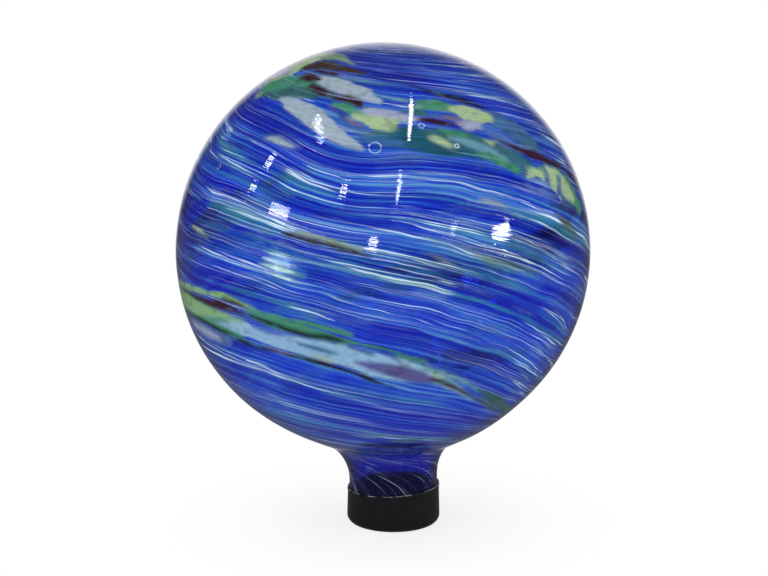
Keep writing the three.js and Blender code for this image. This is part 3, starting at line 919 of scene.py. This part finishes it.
def glass_line(glass, ball_radius, throat_radius, sweep_radius, steps):
    """The wall line from the crown down to the lip: ball, flare and neck."""
    centre = glass.overall_height - glass.globe_diameter / 2
    sweep_axis = throat_radius + sweep_radius
    drop = math.sqrt((ball_radius + sweep_radius) ** 2 - sweep_axis ** 2)
    touch = math.atan2(drop, sweep_axis)
    foot = centre - drop
    lip = glass.lip_height + glass.lip_round
    ball = arc((0, centre), ball_radius, math.pi / 2, -touch, steps[0])
    sweep = arc((sweep_axis, foot), sweep_radius, math.pi - touch, math.pi, steps[1])
    neck = [(throat_radius, foot + (lip - foot) * step / steps[2]) for step in range(1, steps[2])]
    line = ball + sweep[1:] + neck
    return [(pulled_in(glass, radius, height), height) for radius, height in line]


def pulled_in(glass, radius, height):
    """The underside was pulled in as the neck was drawn out."""
    globe_radius = glass.globe_diameter / 2
    centre = glass.overall_height - globe_radius
    below = max(0, centre - glass.pull_start - height) / globe_radius
    off_neck = min(max((radius - glass.neck_diameter / 2) / glass.flare_radius, 0), 1)
    return radius - glass.pull_in * below ** 2 * off_neck


def turned(profile, segments):
    """A closed solid: the profile, which starts and ends on the upright axis, turned about it."""
    mesh = bmesh.new()
    verts = [mesh.verts.new((max(radius, 0), 0, height)) for radius, height in profile]
    edges = [mesh.edges.new(pair) for pair in zip(verts, verts[1:])]
    bmesh.ops.spin(mesh, geom=verts + edges, cent=(0, 0, 0), axis=(0, 0, 1), dvec=(0, 0, 0),
                   angle=math.tau, steps=segments, use_merge=True, use_normal_flip=False,
                   use_duplicate=False)
    bmesh.ops.remove_doubles(mesh, verts=mesh.verts, dist=0.001 * MM)
    bmesh.ops.recalc_face_normals(mesh, faces=mesh.faces)
    return mesh


def finished(mesh, name, materials, body, node):
    """Makes the object for a mesh, which rides on a body and stands for a node."""
    open_edges = [edge for edge in mesh.edges if not edge.is_manifold]
    if open_edges or mesh.calc_volume(signed=True) <= 0:
        raise RuntimeError(f"{name} isn't a closed solid: {len(open_edges)} open edges")
    data = bpy.data.meshes.new(name)
    mesh.to_mesh(data)
    mesh.free()
    for material in materials:
        data.materials.append(material)
    data.polygons.foreach_set("use_smooth", [True] * len(data.polygons))
    piece = bpy.data.objects.new(name, data)
    bpy.context.scene.collection.objects.link(piece)
    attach(piece, body)
    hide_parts(node)
    return piece


def direction(bearing, height):
    """The unit vector from the ball's centre to a place on it."""
    turn, rise = math.radians(bearing), math.radians(height)
    return np.array((math.sin(turn) * math.cos(rise), -math.cos(turn) * math.cos(rise),
                     math.sin(rise)))


def trail_reach(places, radius, stations):
    """How far inside a trail each place lies, negative outside, in millimetres."""
    reach = np.full(len(places), -np.inf)
    for (start, start_width), (end, end_width) in zip(stations, stations[1:]):
        along = end - start
        share = np.clip((places - start) @ along / (along @ along), 0, 1)
        nearest = start + share[:, None] * along
        nearest /= np.linalg.norm(nearest, axis=1)[:, None]
        gap = np.linalg.norm(places - nearest, axis=1) * radius / MM
        reach = np.maximum(reach, start_width + share * (end_width - start_width) - gap)
    return reach


def seen_direction(right, up, glass, stage):
    """The unit vector from the ball's centre to a place on its front, as the camera sees it."""
    radius = glass.globe_diameter / 2
    distance = stage.camera_distance / radius
    edge = math.sqrt(distance ** 2 - 1)
    ray = np.array((right / edge, up / edge, -1))
    along = -ray[2] * distance
    square = ray @ ray
    depth = math.sqrt(max(0, along ** 2 - square * (distance ** 2 - 1)))
    travel = (along - depth) / square
    across, above, toward = np.array((0, 0, distance)) + ray * travel
    rise = stage.camera_elevation
    return np.array((across, above * math.sin(rise) - toward * math.cos(rise),
                     above * math.cos(rise) + toward * math.sin(rise)))


def painted_frit(places, radius):
    """The frit's colour and opacity at each place, and how far inside the frit it lies, in
    millimetres."""
    tints = np.zeros((len(places), 4))
    inside = np.full(len(places), FAR_OUTSIDE)
    for trail in TRAILS:
        tint, opacity = FRIT[trail.frit]
        stations = [(direction(bearing, height), width) for bearing, height, width in
                    trail.stations]
        reach = trail_reach(places, radius, stations)
        lead = np.where(inside > 0, reach, reach - inside)
        share = np.clip(lead / TRAIL_EDGE / 2 + 0.5, 0, 1)[:, None]
        tints = tints * (1 - share) + np.array((*tint, opacity)) * share
        inside = np.maximum(inside, reach)
    return tints, inside


def painted_swells(places, glass, stage):
    """How far the trails dip at each place, in shares of the ball's radius."""
    camera_up = np.array((0, math.sin(stage.camera_elevation), math.cos(stage.camera_elevation)))
    dips = np.zeros(len(places))
    for swell in SWELLS:
        middle = seen_direction(swell.right, swell.up, glass, stage)
        across = (places - middle)[:, 0] / swell.across_share
        up = (places - middle) @ camera_up / swell.up_share
        near = (places @ middle).clip(0, 1)
        dips += swell.dip * near * np.exp(-across ** 2 - up ** 2)
    return dips


def painted_veils(places, glass, stage):
    """The veils' tone at each place."""
    tones = np.zeros(len(places))
    for veil in VEILS:
        stations = [(seen_direction(right, up, glass, stage), width) for right, up, width in
                    veil.stations]
        reach = trail_reach(places, glass.globe_diameter / 2, stations)
        share = np.clip(reach / VEIL_EDGE / 2 + 0.5, 0, 1)
        tones = tones * (1 - share) + veil.tone * share
    return tones


def paint(data, glass, stage):
    """Writes the frit, the swells and the veils to the glass's mesh, for its material to read."""
    radius = glass.globe_diameter / 2
    places = np.zeros(len(data.vertices) * 3)
    data.vertices.foreach_get("co", places)
    places = places.reshape(-1, 3) - (-glass.neck_offset, 0, glass.overall_height - radius)
    places /= np.linalg.norm(places, axis=1)[:, None]

    tints, inside = painted_frit(places, radius)
    frit = data.attributes.new("frit", "FLOAT_COLOR", "POINT")
    frit.data.foreach_set("color", tints.astype(np.float32).ravel())
    numbers = {"frit_reach": inside, "swell": painted_swells(places, glass, stage),
               "veil": painted_veils(places, glass, stage)}
    for name, values in numbers.items():
        attribute = data.attributes.new(name, "FLOAT", "POINT")
        attribute.data.foreach_set("value", values.astype(np.float32))


# Steps of the glass's outer and inner lines, each along the ball, the flare and the neck, and of
# a rounded edge and the cap's foot.
OUTER_STEPS = (274, 26, 20)
INNER_STEPS = (48, 8, 4)
ROUND_STEPS = 5
FOOT_STEPS = 10

# The hollows that hand blowing leaves: how many there are to a metre, and where in the noise they
# are read. The neck, the crown and the ball's widest line have none, so that the glass keeps its
# overall sizes. Each TRUE is the length without hollows, and over each FADE they come in.
HOLLOWS_PER_METRE = 28
HOLLOWS_OFFSET = Vector((5, 2, 9))
NECK_TRUE, NECK_FADE = 50 * MM, 50 * MM
CROWN_TRUE, CROWN_FADE = 1 * MM, 4 * MM
BELT_TRUE, BELT_FADE = 4 * MM, 10 * MM


def hollow_share(glass, place, centre):
    """How much of the waviness there is at a place, 0 to 1."""
    depth = 0.5 + 0.5 * noise.noise(place * HOLLOWS_PER_METRE + HOLLOWS_OFFSET)
    over_neck = smooth_share(place.z, NECK_TRUE, NECK_FADE)
    under_crown = smooth_share(glass.overall_height - place.z, CROWN_TRUE, CROWN_FADE)
    off_belt = smooth_share(abs(place.z - centre.z), BELT_TRUE, BELT_FADE)
    return depth * over_neck * under_crown * off_belt


class GAZING_OT_glass(bpy.types.Operator):
    """Adds the blown glass: the ball, its flare and its neck, in one piece."""
    bl_idname = "gazing.glass"
    bl_label = "Glass Ball"

    def execute(self, context):
        settings = context.scene.gazing_ball
        glass = settings.glass
        globe_radius = glass.globe_diameter / 2
        neck_radius = glass.neck_diameter / 2
        bore_radius = neck_radius - glass.neck_wall
        outside = glass_line(glass, globe_radius, neck_radius, glass.flare_radius, OUTER_STEPS)
        inside = glass_line(glass, globe_radius - glass.globe_wall, bore_radius,
                            glass.flare_radius + glass.neck_wall, INNER_STEPS)
        lip_centre = glass.lip_height + glass.lip_round
        lip = arc((neck_radius - glass.lip_round, lip_centre), glass.lip_round,
                  0, -math.pi / 2, ROUND_STEPS)
        lip += arc((bore_radius + glass.lip_round, lip_centre), glass.lip_round,
                   -math.pi / 2, -math.pi, ROUND_STEPS)
        mesh = turned(outside + lip + inside[::-1], glass.segments)
        centre = Vector((0, 0, glass.overall_height - globe_radius))
        for face in mesh.faces:
            face.material_index = 0 if face.normal.dot(face.calc_center_median() - centre) > 0 else 1
        for vert in mesh.verts:
            inward = (centre - vert.co).normalized()
            vert.co += inward * glass.waviness * hollow_share(glass, vert.co, centre)
            vert.co.x += lean(glass, vert.co.z)
        materials = (swirled_glass(glass, settings.swirl), inner_glass(glass, settings.swirl))
        piece = finished(mesh, "glass_ball", materials, "ball", "glass_globe")
        paint(piece.data, glass, settings.stage)
        return {"FINISHED"}


class GAZING_OT_cap(bpy.types.Operator):
    """Adds the push-on cap."""
    bl_idname = "gazing.cap"
    bl_label = "End Cap"

    def execute(self, context):
        settings = context.scene.gazing_ball
        cap = settings.cap
        socket = cap.socket_diameter / 2
        foot = socket + cap.foot_wall - cap.foot_round
        rim = socket + cap.rim_wall - cap.rim_round
        groove = socket + cap.rim_wall - cap.rim_bead
        bead_foot = cap.height - cap.bead_height
        groove_top = bead_foot - cap.bead_slope
        line = [(0, cap.gate_depth), (cap.gate_floor, cap.gate_depth), (cap.gate_radius, 0)]
        line += arc((foot, cap.foot_round), cap.foot_round, -math.pi / 2, 0, FOOT_STEPS)
        line += [(groove, groove_top - cap.groove_height), (groove, groove_top),
                 (socket + cap.rim_wall, bead_foot)]
        line += arc((rim, cap.height - cap.rim_round), cap.rim_round, 0, math.pi / 2, ROUND_STEPS)
        line += arc((socket + cap.rim_round, cap.height - cap.rim_round), cap.rim_round,
                    math.pi / 2, math.pi, ROUND_STEPS)
        line += arc((socket - cap.corner_round, cap.floor + cap.corner_round), cap.corner_round,
                    0, -math.pi / 2, ROUND_STEPS)
        line += [(0, cap.floor)]
        mesh = turned(line, cap.segments)
        for vert in mesh.verts:
            rise = (vert.co.z - cap.foot_round) / (cap.height - cap.foot_round)
            slope = vert.co.x / (socket + cap.rim_wall)
            vert.co.z += cap.rim_rise * min(max(rise, 0), 1) * slope
        materials = (black_vinyl(cap, settings.cap_look),)
        finished(mesh, "push_on_cap", materials, "cap", "end_cap")
        return {"FINISHED"}


# A window, pane or tube of the studio, in metres: the middles of its two ends, and its width.
Window = namedtuple("Window", "name start end width")
WINDOWS = (
    Window("left_window", (-1.37, -0.76, 0.76), (-1.39, -0.78, 0.86), 0.36),
    Window("right_window", (1.5, -0.66, 0.46), (1.52, -0.68, 0.6), 0.3),
    Window("left_pane", (-1.5, -0.13, 0.91), (-1.51, -0.13, 0.96), 0.12),
    Window("left_high_pane", (-1.32, -0.08, 1.2), (-1.33, -0.08, 1.28), 0.12),
    Window("front_pane", (-0.56, -1.18, 1.2), (-0.59, -1.24, 1.34), 0.1),
    Window("low_front_pane", (-0.16, -1.67, 0.51), (-0.16, -1.69, 0.6), 0.13),
    Window("right_front_pane", (1.01, -1.26, 0.7), (1.02, -1.27, 0.75), 0.08),
    Window("right_tube", (0.31, 0.15, 1.82), (0.33, -0.55, 1.75), 0.03),
    Window("front_tube", (0.25, -1.1, 1.47), (0.19, -1.38, 1.17), 0.022),
    Window("left_tube", (-0.75, 0.12, 1.67), (-0.77, -0.42, 1.64), 0.02),
)


class GAZING_OT_stage(bpy.types.Operator):
    """Adds the floor, the studio's light and the camera."""
    bl_idname = "gazing.stage"
    bl_label = "Stage"

    def execute(self, context):
        scene = context.scene
        settings = scene.gazing_ball
        stage, glass = settings.stage, settings.glass
        target = Vector((-glass.neck_offset, 0, glass.overall_height - glass.globe_diameter / 2))
        self.add_floor(scene, stage)
        scene.world = studio_room(stage)
        for window in WINDOWS:
            self.add_window(scene, window, target, stage.window)
        self.add_camera(scene, stage, target)
        scene.view_settings.view_transform = "Standard"
        return {"FINISHED"}

    def add_floor(self, scene, stage):
        mesh = bmesh.new()
        bmesh.ops.create_circle(mesh, cap_ends=True, segments=96, radius=stage.floor_radius)
        data = bpy.data.meshes.new("studio_floor")
        mesh.to_mesh(data)
        mesh.free()
        data.materials.append(studio_floor(stage))
        floor = bpy.data.objects.new("studio_floor", data)
        scene.collection.objects.link(floor)

    def add_camera(self, scene, stage, target):
        data = bpy.data.cameras.new("photo_camera")
        data.lens = stage.lens
        camera = bpy.data.objects.new("photo_camera", data)
        rise = stage.camera_elevation
        back = Vector((0, -math.cos(rise), math.sin(rise)))
        camera.location = target + back * stage.camera_distance
        aim = target + Vector((stage.camera_aim, 0, -stage.camera_drop)) - camera.location
        camera.rotation_euler = aim.to_track_quat("-Z", "Y").to_euler()
        scene.collection.objects.link(camera)
        scene.camera = camera

    def add_window(self, scene, window, target, radiance):
        """A lamp with the window's shape that faces the ball. The camera doesn't see it."""
        start, end = Vector(window.start), Vector(window.end)
        light = bpy.data.lights.new(window.name, "AREA")
        light.shape = "RECTANGLE"
        light.size, light.size_y = window.width, (end - start).length
        light.energy = radiance * math.pi * light.size * light.size_y
        lamp = bpy.data.objects.new(window.name, light)
        middle = (start + end) / 2
        upward = (end - start).normalized()
        backward = (middle - target).normalized()
        sideways = upward.cross(backward).normalized()
        turn = Matrix((sideways, upward, sideways.cross(upward))).transposed()
        lamp.matrix_world = Matrix.Translation(middle) @ turn.to_4x4()
        lamp.visible_camera = False
        scene.collection.objects.link(lamp)


class GAZING_PT_panel(bpy.types.Panel):
    """Lists the pieces and their settings."""
    bl_idname = "GAZING_PT_panel"
    bl_label = "Garden Gazing Ball"
    bl_space_type = "VIEW_3D"
    bl_region_type = "UI"
    bl_category = "Gazing Ball"

    def draw(self, context):
        settings = context.scene.gazing_ball
        for operator in OPERATORS:
            self.layout.operator(operator.bl_idname)
        for group in SETTINGS:
            box = self.layout.box()
            box.label(text=group.replace("_", " ").capitalize())
            for name in SETTINGS[group].__annotations__:
                box.prop(getattr(settings, group), name)


OPERATORS = (GAZING_OT_glass, GAZING_OT_cap, GAZING_OT_stage)
CLASSES = (*SETTINGS.values(), GazingBall, *OPERATORS, GAZING_PT_panel)


def register():
    for cls in CLASSES:
        bpy.utils.register_class(cls)
    bpy.types.Scene.gazing_ball = PointerProperty(type=GazingBall)


def unregister():
    del bpy.types.Scene.gazing_ball
    for cls in reversed(CLASSES):
        bpy.utils.unregister_class(cls)


def main():
    register()
    bpy.ops.gazing.glass()
    bpy.ops.gazing.cap()
    bpy.ops.gazing.stage()


if __name__ == "__main__":
    main()
